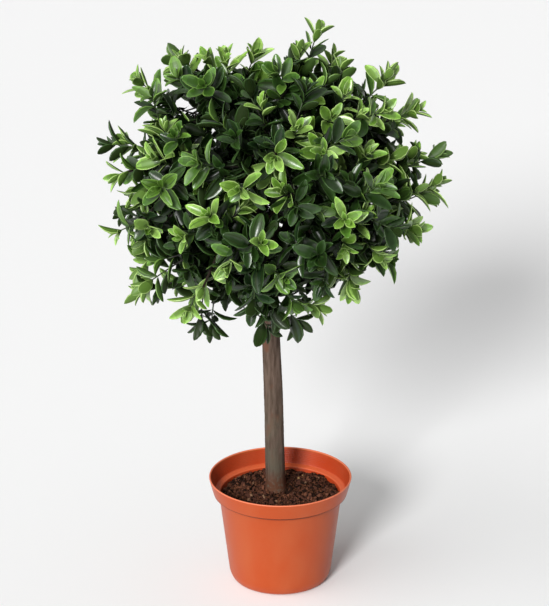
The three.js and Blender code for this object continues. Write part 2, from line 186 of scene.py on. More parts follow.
# A shader with its node tree, and short ways to add to it. A pattern of blotches is given
# as its size in millimetres, its detail, its stretch along the axes and its contrast.
class Finish:
    def __init__(self, name, roughness, gloss):
        self.material = bpy.data.materials.new(name)
        self.material.use_nodes = True
        self.tree = self.material.node_tree
        self.shader = self.tree.nodes["Principled BSDF"]
        self.shader.inputs["Roughness"].default_value = roughness
        self.shader.inputs["Specular IOR Level"].default_value = gloss
        self.place = self.node("TexCoord").outputs["Object"]

    # a node, with each input set to a value or linked to another node's output
    def node(self, kind, **inputs):
        node = self.tree.nodes.new("ShaderNode" + kind)
        for name, value in inputs.items():
            self.fill(node.inputs[name.replace("_", " ")], value)
        return node

    # a socket gets a value, or a link
    def fill(self, socket, value):
        if isinstance(value, bpy.types.NodeSocket):
            self.tree.links.new(value, socket)
        else:
            socket.default_value = value

    # soft blotches, spread from 0 to 1 between the two values of the contrast
    def blotches(self, size, detail, stretch=(1, 1, 1), contrast=None):
        place = self.node("Mapping", Vector=self.place, Scale=stretch).outputs["Vector"]
        noise = self.node("TexNoise", Vector=place, Scale=1 / (size * millimetre), Detail=detail)
        fac = noise.outputs["Fac"]
        return fac if contrast is None else self.spread(fac, contrast)

    # the values between low and high, spread from 0 to 1
    def spread(self, value, contrast):
        low, high = contrast
        return self.node("MapRange", Value=value, From_Min=low, From_Max=high).outputs["Result"]

    # how high a point is, from 0 to 1 between two heights counted from a level
    def heightBetween(self, ends, level=0):
        split = self.node("SeparateXYZ", Vector=self.place)
        low, high = (level + end for end in ends)
        return self.spread(split.outputs["Z"], (low * millimetre, high * millimetre))

    # the product of two shares
    def times(self, a, b):
        product = self.node("Math")
        product.operation = "MULTIPLY"
        self.fill(product.inputs[0], a)
        self.fill(product.inputs[1], b)
        return product.outputs[0]

    # one colour going over to another with a share
    def mixed(self, share, first, second):
        mix = self.node("Mix", Factor=share)
        mix.data_type = "RGBA"
        self.fill(mix.inputs[6], first)
        self.fill(mix.inputs[7], second)
        return mix.outputs[2]

    # the base colour: one plain colour, or one worked out by nodes
    def colour(self, value):
        self.fill(self.shader.inputs["Base Color"], value)

    # roughness that goes from low to high with a share
    def roughness(self, share, low, high):
        ramp = self.node("MapRange", Value=share, To_Min=low, To_Max=high)
        self.fill(self.shader.inputs["Roughness"], ramp.outputs["Result"])

    # small relief of a depth in millimetres, with blotches of a size
    def relief(self, depth, size, detail, stretch=(1, 1, 1)):
        height = self.blotches(size, detail, stretch)
        bump = self.node("Bump", Distance=depth * millimetre, Height=height)
        self.fill(self.shader.inputs["Normal"], bump.outputs["Normal"])


# one plain colour with a fine grain
def plainFinish(name, colour, look):
    finish = Finish(name, look["roughness"], look["gloss"])
    finish.colour(paint(colour))
    finish.relief(*look["grain"])
    return finish.material


pot = {
    "height": 92,
    "wall": 1.5,
    "floor": 2.5,
    "footRadius": 38.5,
    "recess": 1.2,  # how far the underside is drawn in inside its foot ring
    "recessRadius": 34,
    "baseRadius": 42.9,
    "edgeRound": 4.6,
    "shoulderZ": 76,
    "shoulderRadius": 51.5,
    "bandFootZ": 78.2,
    "bandFootRadius": 56.6,
    "rimRadius": 60,
    "pole": 0.3,  # the radius where the floor closes
    "around": 192,
    "arcPoints": 7,  # points on each rounded corner
    "rings": 7,  # fine turned rings inside the rim band
    "ringPoints": 4,
    "ringDepth": 0.09,
    "ringMargin": 1.6,  # from the rings to the band's ends
}

potLook = {
    "outside": ((168, 66, 18), (170, 76, 34)),  # the plastic, and where it has dulled
    "inside": ((170, 58, 23), (173, 68, 35)),  # a redder, darker copy inside: painted bounce light and shade
    "lipHighlight": (222, 118, 82),  # painted highlight along the thin lip
    "ledgeHighlight": (205, 94, 54),  # and a painted highlight on the ledge under the band
    "grooveShade": (104, 36, 14),  # painted shade where the band overhangs
    "lipHighlightHeights": (-1.1, -0.4),  # from the pot's top
    "ledgeHighlightHeights": ((-1.3, -0.7), (1, 0.2)),  # in and out again, from the band's foot
    "grooveShadeHeights": ((-1.6, -0.2), (0.3, -0.3)),  # from the shoulder, and from the band's foot
    "dulled": (22, 4, (1, 1, 0.6), (0.38, 0.72)),
    "grain": (0.035, 0.7, 2),  # depth, size and detail
    "roughness": (0.36, 0.5),
    "gloss": 0.36,
}


# the pot's plastic, with painted shade in the groove outside or a painted highlight on the ledge
# inside, and a painted highlight on the lip on both
def potPlastic(side):
    finish = Finish(side + "Plastic", potLook["roughness"][0], potLook["gloss"])
    dulled = finish.blotches(*potLook["dulled"])
    part, level = ("grooveShade", "shoulderZ") if side == "outside" else ("ledgeHighlight", "bandFootZ")
    comesIn, goesOut = potLook[part + "Heights"]
    band = finish.heightBetween(goesOut, pot["bandFootZ"])
    band = finish.times(finish.heightBetween(comesIn, pot[level]), band)
    plastic = finish.mixed(dulled, *map(paint, potLook[side]))
    # painted shade in the groove outside, or a painted highlight on the ledge inside
    plastic = finish.mixed(band, plastic, paint(potLook[part]))
    # a painted highlight along the lip
    lipHighlight = finish.heightBetween(potLook["lipHighlightHeights"], pot["height"])
    finish.colour(finish.mixed(lipHighlight, plastic, paint(potLook["lipHighlight"])))
    finish.roughness(dulled, *potLook["roughness"])
    finish.relief(*potLook["grain"])
    return finish.material


# A line whose corners go over into quadratic curves. A corner is a radius, a height, and
# how far before it the curve leaves the line and how far past it the two meet again.
def roundedLine(corners):
    rounds, corners = [corner[2] for corner in corners], np.array(corners, float)[:, :2]
    t = np.linspace(0, 1, pot["arcPoints"])
    parts = [corners[:1]]
    for k in range(1, len(corners) - 1):
        if rounds[k] == 0:
            parts.append(corners[k : k + 1])
            continue
        back, onward = unit(corners[k - 1] - corners[k]), unit(corners[k + 1] - corners[k])
        arc = [corners[k] + rounds[k] * back, corners[k], corners[k] + rounds[k] * onward]
        parts.append(alongLimb(np.array(arc), t)[0])
    parts.append(corners[-1:])
    return np.concatenate(parts)


# a profile of radius and height carried round the upright axis
def turned(profile, around):
    return aboutAxis(profile[:, :1], fullTurn(around), profile[:, 1:]).reshape(-1, 3)


# the radius of the wall's inner side: a straight line from its foot to the shoulder
def innerRadius(z):
    share = (z - pot["edgeRound"]) / (pot["shoulderZ"] - pot["edgeRound"])
    return pot["baseRadius"] - pot["wall"] + share * (pot["shoulderRadius"] - pot["baseRadius"])


# The pot is one profile turned round: up the outside, over the lip, down the rings inside
# the band, and down to the floor. The rings are a sine of the height. A corner's small
# numbers are how far it stands off the size beside them, and the last is its rounding.
def makePot():
    wall, rim, top, margin = pot["wall"], pot["rimRadius"], pot["height"], pot["ringMargin"]
    footR, footZ = pot["bandFootRadius"], pot["bandFootZ"]
    shoulderR, shoulderZ = pot["shoulderRadius"], pot["shoulderZ"]
    bandZ = np.linspace(top - margin, footZ + margin, pot["rings"] * pot["ringPoints"] + 1)
    ripple = pot["ringDepth"] * np.sin(np.linspace(0, 2 * np.pi * pot["rings"], len(bandZ)))
    bandR = footR - wall + (bandZ - footZ) / (top - footZ) * (rim - footR) + ripple
    band = np.stack([bandR, bandZ], -1)
    outside = roundedLine([
        (pot["pole"], pot["recess"], 0),
        (pot["recessRadius"], pot["recess"], 0.4),
        (pot["recessRadius"] + 0.8, 0, 0.4),
        (pot["footRadius"] + 1.2, 0, 2.6),
        (pot["baseRadius"], pot["edgeRound"] + 1.2, 3.4),
        (shoulderR, shoulderZ, 0.7),
        (footR - 0.5, footZ - 0.6, 0.9),
        (footR, footZ + 0.8, 1.2),
        (rim, top, 0.72),
        (rim - wall, top, 0.72),
        (*band[0], 0),
    ])
    inside = roundedLine([
        (*band[-1], 0),
        (footR - wall, footZ + 0.5, 0.8),
        (innerRadius(shoulderZ) + 0.2, shoulderZ + 1.7, 1.2),
        (innerRadius(soil["foot"]), soil["foot"], 0),
        (innerRadius(pot["edgeRound"]), pot["edgeRound"], 1),
        (pot["footRadius"], pot["floor"], 1),
        (pot["pole"], pot["floor"], 0),
    ])
    profile = np.concatenate([outside[:-1], band[:-1], inside])
    around, rows = pot["around"], len(profile)
    isInside = np.repeat(np.arange(rows - 1) >= len(outside) - 1, around)
    choice = np.append(isInside, [0, 1]).astype(int)
    points, faces = turned(profile, around), closedRings(rows, around)
    materials = [potPlastic("outside"), potPlastic("inside")]
    piece = makePiece("turnedPot", points, faces, materials, choice)
    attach(piece, "root")
    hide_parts("pot")


trunk = {
    "line": [
        (-3.5, 6, 77.5), (-5, 4.6, 125), (-6.2, 3, 170),
        (-7.8, 1.4, 215), (-8.3, 0, 262), (-6.2, -0.6, 322),
    ],
    "middleZ": 200,
    "sunk": 4,  # how far the bark goes on below the soil's top
    "footRadius": 8.1,
    "tipRadius": 5.6,
    "taper": 2.2,
    "flare": 0.9,
    "flareLength": 7,
    "flutes": [(0.22, 3, 5), (0.12, 5, -9)],  # height, number round, turn on the way up
    "wander": (4, 26, 3, 1.2),  # number round, length, seed, and how far ridges stray
    # the ridges of the bark: height, number round, length, seed, and whether they wander
    "ridges": [(0.22, 14, 15, 5, 1), (0.11, 34, 6, 8, 1), (0.18, 60, 1.3, 13, 0)],
    "around": 176,
    "rings": 420,
}

barkLook = {
    "colours": {
        "grey": (98, 82, 72),
        "dark": (70, 57, 48),
        "rust": (97, 69, 55),
        "lichen": (87, 80, 68),  # a grey green towards the foot
        "crust": (86, 56, 41),  # peat left on the foot
    },
    "dark": (2.2, 5, (1, 1, 0.14), (0.36, 0.66)),
    "rust": (9, 4, (1, 1, 0.5), (0.54, 0.68)),
    "lichen": (7, 3, (1, 1, 0.4), (0.4, 0.6)),
    "crust": (3, 4, (1, 1, 1), (0.3, 0.46)),
    "lichenHeights": (190, 95),
    "crustHeights": (98, 85),
    "grain": (0.35, 0.8, 4, (1, 1, 0.3)),  # depth, size, detail and stretch
    "roughness": (0.7, 0.92),
    "gloss": 0.1,
}


# the bark, with a share of its light on limbs that stay in the shade
def barkFinish(name, share=1.0):
    finish = Finish(name, barkLook["roughness"][1], barkLook["gloss"])
    tones = {part: paint(colour, share) for part, colour in barkLook["colours"].items()}
    streaks = finish.blotches(*barkLook["dark"])
    bark = finish.mixed(streaks, tones["grey"], tones["dark"])
    bark = finish.mixed(finish.blotches(*barkLook["rust"]), bark, tones["rust"])
    for part in ("lichen", "crust"):
        low = finish.heightBetween(barkLook[part + "Heights"])
        where = finish.times(finish.blotches(*barkLook[part]), low)
        bark = finish.mixed(where, bark, tones[part])
    finish.colour(bark)
    finish.roughness(streaks, *barkLook["roughness"])
    finish.relief(*barkLook["grain"])
    return finish.material


trunkPoints = np.array(trunk["line"], float)
trunkCurve = [
    np.polyfit(trunkPoints[:, 2] - trunk["middleZ"], trunkPoints[:, k], len(trunkPoints) - 1)
    for k in (0, 1)
]


# the middle of the trunk at a height: two polynomials of the height through its points
def trunkAt(z):
    x, y = (np.polyval(curve, z - trunk["middleZ"]) for curve in trunkCurve)
    return np.stack([x, y, z], -1)


# the trunk's radius: a taper that grows with a power of the share climbed, a flare that
# dies away from the foot, shallow flutes, and ridges of bark that wander as they climb
def trunkRadius(angle, z):
    foot, tip = trunkPoints[0, 2], trunkPoints[-1, 2]
    share = np.clip((z - foot) / (tip - foot), 0, 1)
    taper = between((trunk["footRadius"], trunk["tipRadius"]), share ** trunk["taper"])
    flare = trunk["flare"] * np.exp(-np.maximum(z - foot, 0) / trunk["flareLength"])
    flutes = sum(h * np.sin(number * angle + twist * share) for h, number, twist in trunk["flutes"])
    turns = angle / (2 * np.pi)
    count, length, seed, stray = trunk["wander"]
    wander = stray * patchyNoise(count * turns, z / length, seed, count)
    bark = 0
    for height, count, length, seed, wanders in trunk["ridges"]:
        noise = patchyNoise(count * turns + wanders * wander, z / length, seed, count)
        bark = bark + height * (noise - 0.5)
    return taper + flare + flutes + bark


# the trunk: rings of its radius round its middle
def makeTrunk(bark):
    rows, around = trunk["rings"], trunk["around"]
    z = np.linspace(trunkPoints[0, 2] - trunk["sunk"], trunkPoints[-1, 2], rows)[:, None]
    angle = fullTurn(around)[None]
    points = (trunkAt(z) + aboutAxis(trunkRadius(angle, z), angle, 0)).reshape(-1, 3)
    piece = makePiece("barkedTrunk", points, closedRings(rows, around), [bark])
    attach(piece, "root")
    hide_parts("trunk")


soil = {
    "level": 74.6,
    "foot": 60,  # the piece goes down to here
    "atTrunk": 78.0,  # the height of the mound where the trunk stands
    "wallGap": 0.3,
    "around": 320,
    "rings": 100,
    "firstRing": 0.004,  # share of the radius
    "ringSpread": 0.8,
    "lumps": [(9, 3.0, 21), (4.6, 2.6, 22), (2.3, 2.0, 23), (1.2, 1.3, 24)],  # size, height, seed
    "mounds": [(-3.5, 5, 2.4, 17), (24, 26, 2.6, 13), (-30, 12, 1.2, 12)],  # x, y, height, spread
    "shift": 50,  # cells by which the lumps' noise is moved
    "crumbCount": 3600,
    "crumbSizes": (0.32, 1.75),
    "crumbPower": 1.9,  # the higher, the more of them are small
    "crumbStretch": (0.55, 1.45),
    "crumbRagged": 0.7,  # how far corners are pushed in and out
    "crumbTilt": 0.7,
    "crumbRise": 0.25,  # how far its middle stands above the soil, as a share of its size
    "bits": (16, 2.4),  # one crumb in so many is a bit of root or bark, so much longer
    "crumbGaps": (2.2, 1.2),  # from the wall and from the trunk
    "seed": 61,
}

soilLook = {
    "peat": (46, 27, 17),
    "dry": (100, 62, 43),
    "dryPatches": (2.2, 6, (1, 1, 1), (0.4, 0.64)),
    "grain": (0.8, 0.9, 5),  # depth, size and detail
    "gloss": 0.05,
    "roughness": 0.95,
}

crumbLook = {
    "kinds": {  # colour and share
        "blackCrumb": ((33, 20, 14), 0.36),
        "peatCrumb": ((73, 45, 35), 0.42),
        "rustyCrumb": ((104, 66, 49), 0.18),
        "paleCrumb": ((126, 96, 74), 0.025),
        "yellowCrumb": ((142, 112, 76), 0.005),
    },
    "grain": (0.3, 0.6, 3),
    "roughness": 0.95,
    "gloss": 0.08,
}


# peat, going over to dry patches
def soilFinish():
    finish = Finish("loosePeat", soilLook["roughness"], soilLook["gloss"])
    dry = finish.blotches(*soilLook["dryPatches"])
    finish.colour(finish.mixed(dry, paint(soilLook["peat"]), paint(soilLook["dry"])))
    finish.relief(*soilLook["grain"])
    return finish.material


# the soil's top: its level, mounds that fall off as exp(-d²/spread²), and patchy lumps
def soilHeight(x, y):
    z = soil["level"] + np.zeros_like(x)
    for mx, my, height, spread in soil["mounds"]:
        z = z + height * np.exp(-((x - mx) ** 2 + (y - my) ** 2) / spread**2)
    for size, height, seed in soil["lumps"]:
        noise = patchyNoise(x / size + soil["shift"], y / size + soil["shift"], seed)
        z = z + height * (noise - 0.5)
    return z


# the soil: rings from the middle of its top out to the wall, then down and back in below
def makeSoil():
    around, gap = soil["around"], soil["wallGap"]
    edge = innerRadius(soil["level"]) - gap
    angle = fullTurn(around)
    r = (edge * np.linspace(soil["firstRing"], 1, soil["rings"]) ** soil["ringSpread"])[:, None]
    x, y = r * np.cos(angle), r * np.sin(angle)
    top = np.stack([x, y, soilHeight(x, y)], -1)
    under = np.array([[innerRadius(soil["foot"]) - gap, soil["foot"]], [pot["pole"], soil["foot"]]])
    points = np.concatenate([top, turned(under, around).reshape(2, around, 3)]).reshape(-1, 3)
    faces = [part[:, ::-1] for part in closedRings(soil["rings"] + len(under), around)]
    piece = makePiece("soilBed", points, faces, [soilFinish()])
    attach(piece, "root")
    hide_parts("soil")


# a ball of 12 corners and 20 faces: the corners are (0, 1, golden) with either sign and in
# each turn of the axes, and any three that are 2 apart make a face
def roundLump():
    golden = (1 + math.sqrt(5)) / 2
    first = np.array([(0, a, b) for a in (-1, 1) for b in (-golden, golden)])
    corners = np.concatenate([first, first[:, [2, 0, 1]], first[:, [1, 2, 0]]])
    gaps = np.linalg.norm(corners[:, None] - corners[None], axis=-1)
    near = np.abs(gaps - 2) < 0.01
    a, b, c = np.nonzero(near[:, :, None] & near[:, None] & near[None])
    faces = np.stack([a, b, c], -1)[(a < b) & (b < c)]
    a, b, c = (corners[faces[:, k]] for k in range(3))
    inward = (np.cross(b - a, c - a) * a).sum(1) < 0
    faces[inward] = faces[inward][:, [0, 2, 1]]
    return unit(corners), faces


# crumbs lie on the soil: each is the round lump, stretched and pushed about by its own draws
def makeCrumbs():
    rng = np.random.default_rng(soil["seed"])
    corners, faces = roundLump()
    wallGap, trunkGap = soil["crumbGaps"]
    r = (innerRadius(soil["level"]) - wallGap) * np.sqrt(rng.random(soil["crumbCount"]))
    a = 2 * np.pi * rng.random(soil["crumbCount"])
    x, y = r * np.cos(a), r * np.sin(a)
    foot = trunkAt(np.array([soil["atTrunk"]]))[0]
    keep = np.hypot(x - foot[0], y - foot[1]) > trunk["footRadius"] + trunkGap
    x, y, count = x[keep], y[keep], int(keep.sum())
    small, large = soil["crumbSizes"]
    size = small * (large / small) ** (rng.random(count) ** soil["crumbPower"])
    shape = between(soil["crumbStretch"], rng.random((count, 1, 3)))
    oneIn, longer = soil["bits"]
    shape[: count // oneIn, :, 0] *= longer
    lumps = corners[None] * size[:, None, None] * shape
    lumps = lumps * (1 + soil["crumbRagged"] * (rng.random((count, len(corners), 1)) - 0.5))
    turn, tip = 2 * np.pi * rng.random(count), soil["crumbTilt"] * (rng.random(count) - 0.5)
    c, s = np.cos(turn)[:, None], np.sin(turn)[:, None]
    lx, ly, lz = (lumps[..., k] for k in range(3))
    points = np.stack([c * lx - s * ly, s * lx + c * ly, lz + lx * np.sin(tip)[:, None]], -1)
    middle = np.stack([x, y, soilHeight(x, y) + soil["crumbRise"] * size], -1)
    points = (points + middle[:, None]).reshape(-1, 3)
    allFaces = (faces[None] + len(corners) * np.arange(count)[:, None, None]).reshape(-1, 3)
    kinds = crumbLook["kinds"]
    shares = np.array([share for _, share in kinds.values()])
    kind = rng.choice(len(kinds), count, p=shares / shares.sum())
    materials = [plainFinish(name, colour, crumbLook) for name, (colour, _) in kinds.items()]
    choice = np.repeat(kind, len(faces))
    piece = makePiece("soilCrumbs", points, [allFaces], materials, choice, smooth=False)
    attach(piece, "root")


crown = {
    "centre": (-5, 0, 352),
    "across": 122.5,
    "up": 98,
    "squareness": 2.5,
    "seed": 4117,
    "seedStep": 977,
    "shoots": 128,
    "lowestShoot": -0.9,  # the sine of its elevation
    "uneven": 0.065,
    # azimuth, elevation, gain, focus
    "swellings": [(-158, -38, 0.13, 5), (-30, -48, -0.12, 6), (168, 36, 0.08, 9)],
    "shortened": 0.56,  # this share of the shoots stop short of the outline
    "shortest": 0.77,
    "neverShort": 0.86,  # shoots that point farther than this to the front or back never do
    "bow": 0.4,  # how far a limb's bend stands off, as a share of its length
    # shoots that stand out of the ball by themselves: azimuth, elevation, reach
    "strays": [
        (51, 64, 125), (155, 48, 123), (166, 34, 133), (175, 12, 135), (2, 9, 131), (0, -1, 129),
        (10, 25, 126), (-163, -37, 138), (-141, -59, 126), (-65, -67, 113), (-96, -69, 118),
    ],
}

boughs = {
    "count": 9,
    "lowest": -0.72,  # the sine of its elevation
    "rootLowZ": 268,
    "rootHighZ": 310,
    "rise": 0.3,
    "length": 0.44,  # share of the way out to the outline
    "radii": (2.6, 1.8, 0.9),  # at the root, where the stem takes over, and at the stem's tip
    "knots": (7, 22, 4, 0.3),  # number round, number along, seed and height
    "rings": 40,
    "sides": 14,
    "shade": 0.2,  # share of light on their bark
}

twigs = {
    "levels": (0.47, 0.54, 0.61, 0.68, 0.75),  # shares of the way out where they leave the stem
    "perLevel": 4,
    "outset": 20,  # a root suits a shoot by its distance from this far out of the stem
    "fineShoots": 205,  # side shoots that fill the room between the others
    "fineReach": (0.58, 0.88),
    "finePlaces": (1800, -0.95),  # how many places are tried, and the sine of the lowest
    "leaves": (0.5, 0.72),  # where a side shoot leaves its twig
    "radii": (0.95, 0.5),
    "rise": 0.24,  # how far a twig's bend hangs, as a share of its length: its tip turns up
    "sides": 5,
    "rings": 10,
    "young": 0.86,  # beyond this share of its length a twig is green
    "seed": 984,
    "colours": {"darkTwig": (26, 22, 17), "youngTwig": (48, 64, 30)},
    "grain": (0.15, 0.9, 3, (1, 1, 0.4)),  # depth, size, detail and stretch
    "roughness": 0.5,
    "gloss": 0.4,
}

crownCentre = np.array(crown["centre"], float)
boughDirections = spreadDirections(boughs["count"], boughs["lowest"])


# the distance from the centre to a shoot's end: (level^q + upright^q)^(-1/q), swelled
def crownReach(direction):
    q = crown["squareness"]
    level = np.hypot(direction[..., 0], direction[..., 1]) / crown["across"]
    upright = np.abs(direction[..., 2]) / crown["up"]
    return swelled((level**q + upright**q) ** (-1 / q), direction, crown["swellings"])


# the place in a direction, a share of the way out to the outline
def inCrown(direction, share):
    return crownCentre + direction * (share * crownReach(direction))[..., None]


# The boughs: the first carries the trunk on from its tip, and the others leave its side at
# even steps down, each headed level along its direction plus a rise.
def boughLimbs():
    ends = inCrown(boughDirections, np.full(boughs["count"], boughs["length"]))
    top = trunkPoints[-1, 2]
    upTrunk = unit(trunkAt(np.array(top)) - trunkAt(np.array(top - 2)))
    limbs = [bowed(trunkAt(np.array(top)) - upTrunk, upTrunk, ends[0])]
    for k in range(1, boughs["count"]):
        drop = (boughs["rootHighZ"] - boughs["rootLowZ"]) * (k - 1) / (boughs["count"] - 2)
        heading = boughDirections[k] * (1, 1, 0) + (0, 0, boughs["rise"])
        limbs.append(bowed(trunkAt(np.array(boughs["rootHighZ"] - drop)), unit(heading), ends[k]))
    return np.array(limbs)


# the directions, ends and draws of the shoots: spread evenly, each a little longer or
# shorter by its own draw, and after them the strays
def shootEnds():
    count = crown["shoots"]
    directions = spreadDirections(count, crown["lowestShoot"])
    strays = np.array(crown["strays"], float)
    seeds = crown["seed"] + crown["seedStep"] * np.arange(count + len(strays))
    draws = [drawsFrom(int(seed)) for seed in seeds]
    longer = np.array([1 + crown["uneven"] * (2 * draws[k]() - 1) for k in range(count)])
    rng = np.random.default_rng(crown["seed"])
    short = rng.random(count) < crown["shortened"]
    short &= np.abs(directions[:, 1]) < crown["neverShort"]
    longer = longer * np.where(short, between((crown["shortest"], 1), rng.random(count)), 1)
    ends = inCrown(directions, longer)
    outward = np.array([towards(azimuth, elevation) for azimuth, elevation, _ in strays])
    strayEnds = crownCentre + outward * strays[:, 2:]
    return np.concatenate([directions, outward]), np.concatenate([ends, strayEnds]), draws


# Each mass has a stem that runs on from its bough to the shoot nearest the bough's own
# direction. The other shoots of the mass are twigs that leave the stem at its levels, four
# to a level, each set an eighth of a turn on from the last level.
def growStemsAndTwigs(boughLines):
    directions, ends, draws = shootEnds()
    nearness = directions @ boughDirections.T
    mass = nearness.argmax(1)
    stems, grown = [], []
    for k, bough in enumerate(boughLines):
        own = np.flatnonzero(mass == k)
        own = own[np.argsort(-nearness[own, k])]
        heading = alongLimb(bough, np.array([1.0]))[1][0]
        stem = bowed(bough[2], heading, ends[own[0]])
        stems.append(stem)
        level = np.cross((0, 0, 1), heading)
        angle = math.pi * draws[own[0]]()
        first = unit(level * math.cos(angle) + np.cross(heading, level) * math.sin(angle))
        share = (np.array(twigs["levels"]) - boughs["length"]) / (1 - boughs["length"])
        root, along = alongLimb(stem, share)
        side = unit(first - along * (along @ first)[:, None])
        around = 2 * np.pi / twigs["perLevel"] * np.arange(twigs["perLevel"])
        turn = np.pi / 4 * np.arange(len(share))[:, None] + around + np.pi / 4
        facing = turnedOn(side[:, None], np.cross(along, side)[:, None], turn).reshape(-1, 3)
        roots = np.repeat(root, twigs["perLevel"], axis=0)
        taken = np.zeros(len(roots))
        for shoot in own[:0:-1]:
            away = np.linalg.norm(roots + twigs["outset"] * facing - ends[shoot], axis=1)
            best = (away + 1000 * taken).argmin()  # a root that is taken counts as far off
            taken[best] += 1
            straight = unit(ends[shoot] - roots[best])
            grown.append(bowed(roots[best], unit(straight + facing[best]), ends[shoot]))
    return np.array(stems), np.array(grown)


# Side shoots go where the ends of the others leave the most room. Each leaves the twig
# whose end is nearest to its own.
def growSideShoots(limbs):
    rng = np.random.default_rng(twigs["seed"])
    directions = spreadDirections(*twigs["finePlaces"])
    places = inCrown(directions, between(twigs["fineReach"], rng.random(len(directions))))
    room = np.linalg.norm(places[:, None] - limbs[None, :, 2], axis=-1).min(1)
    grown = []
    for _ in range(twigs["fineShoots"]):
        end = places[room.argmax()]
        room = np.minimum(room, np.linalg.norm(places - end, axis=1))
        carrier = limbs[np.linalg.norm(limbs[:, 2] - end, axis=1).argmin()]
        at = np.array([between(twigs["leaves"], rng.random())])
        root, along = (found[0] for found in alongLimb(carrier, at))
        grown.append(bowed(root, unit(unit(end - root) + along), end))
    return np.array(grown)


# twigs whose bends hang lower by a share of their length
def risingTips(limbs):
    hang = twigs["rise"] * np.linalg.norm(limbs[:, 2] - limbs[:, 0], axis=1)
    return limbs - np.array([0, 1, 0])[:, None] * hang[:, None, None] * np.array([0, 0, 1])


# limbs as closed tubes: rings of corners round each curve, on two axes square to it
def tubes(limbs, share, radius, sides):
    count, rings = len(limbs), len(share)
    t = np.broadcast_to(share, (count, rings))
    middle, along = alongLimb(limbs, t)
    chord = unit(limbs[:, 2] - limbs[:, 0])
    aside = np.eye(3)[np.abs(chord).argmin(1)][:, None]
    side = squareTo(along, aside)
    angle = fullTurn(sides)
    around = turnedOn(side[:, :, None], np.cross(along, side)[:, :, None], angle)
    points = middle[:, :, None] + around * radius
    first = (rings * sides * np.arange(count))[:, None, None]
    quads, *caps = closedRings(rings, sides)
    quads = (quads[None] + first).reshape(-1, 4)
    caps = (np.concatenate(caps)[None] + first).reshape(-1, sides)
    return points.reshape(-1, 3), quads, caps


# the boughs and the stems that carry them on: tapering tubes with low patchy knots
def makeBoughs(boughLines, stems, bark):
    root, middle, tip = boughs["radii"]
    share = np.linspace(0, 1, boughs["rings"])
    angle = fullTurn(boughs["sides"])
    tapers = [between(ends, share) for ends in ((root, middle), (middle, tip))]
    taper = np.repeat(tapers, [len(boughLines), len(stems)], axis=0)
    around, along, seed, height = boughs["knots"]
    noise = patchyNoise(around * angle / (2 * np.pi), share[:, None] * along, seed, around)
    radius = (taper[:, :, None] + height * (noise - 0.5))[..., None]
    limbs = np.concatenate([boughLines, stems])
    points, quads, caps = tubes(limbs, share, radius, boughs["sides"])
    piece = makePiece("barkedBoughs", points, [quads, caps], [bark])
    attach(piece, "root")
    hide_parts(*[f"bough_{k + 1:02d}" for k in range(boughs["count"])])


massNodes = [f"foliage_{k + 1:02d}" for k in range(boughs["count"])]


# the twigs and side shoots: thin tubes that turn green towards their tips
def makeTwigs(limbs):
    rings, sides = twigs["rings"], twigs["sides"]
    share = np.linspace(0, 1, rings)
    radius = between(twigs["radii"], share)[None, :, None, None]
    points, quads, caps = tubes(limbs, share, radius, sides)
    young = np.repeat(share[:-1] > twigs["young"] - 1 / rings, sides).astype(int)
    choice = np.concatenate([np.tile(young, len(limbs)), np.tile([0, 1], len(limbs))])
    kinds = twigs["colours"].items()
    materials = [plainFinish(name, colour, twigs) for name, colour in kinds]
    piece = makePiece("fineTwigs", points, [quads, caps], materials, choice)
    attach(piece, "root")
    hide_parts(*massNodes)


leaf = {
    "rows": (0.1, 0.29, 0.52, 0.76, 0.93),
    "outline": (0.9, 0.7),  # how blunt it is at the stalk and at the tip
    "rim": 0.83,  # the pale edge begins at this share of the half width
    "middle": 0.44,  # and the midrib's hollow ends at this one
    "slimness": (0.37, 0.53),  # width over length
    "thickness": 0.4,
    "cup": (0.22, 0.7),  # how far the edges are raised, as a share of the half width
    "evenCup": 0.25,  # the share of the cup that rises evenly from the midrib
    "curl": (-0.14, 0.42),  # how far the tip bends back, as a share of the length
    "levels": (0.35, 0.58, 0.85, 1.16, 1.5),  # how bright the parts of a blade are; the dark ones at the stalk are partly painted shade
    "shading": (0.26, 0.85, 0.45),  # brightness at the stalk, more to the tip, more to the edge
    "underShares": (("Foot", 0.6), ("Tip", 1)),  # brightness of the underside's two parts, darker at the stalk: partly painted shade
    "underSplit": 0.4,
    "thinning": 0.6,  # how much thinner it is at the edge
    "duller": (0.04, 0.12),  # how much rougher the rim and the underside are
    "sheen": (5, 2, 0.08, 0.1),  # patches of gloss: size, detail, and how far down and up
    "grain": (0.06, 1.6, 2),  # depth, size and detail
    "stalk": 0.4,
    # how far leaves stray: in turn, in splay in degrees, in roll and more for each pair
    # back, and in length and the most of it
    "strays": {"turn": 0.22, "splay": 12, "roll": (0.2, 0.05), "length": 0.14, "most": (-2, 1.3)},
    "lowest": 0.12,  # no leaves below this share of a shoot
    "trunkGap": 0.5,
    "mostInPiece": 1900,
}

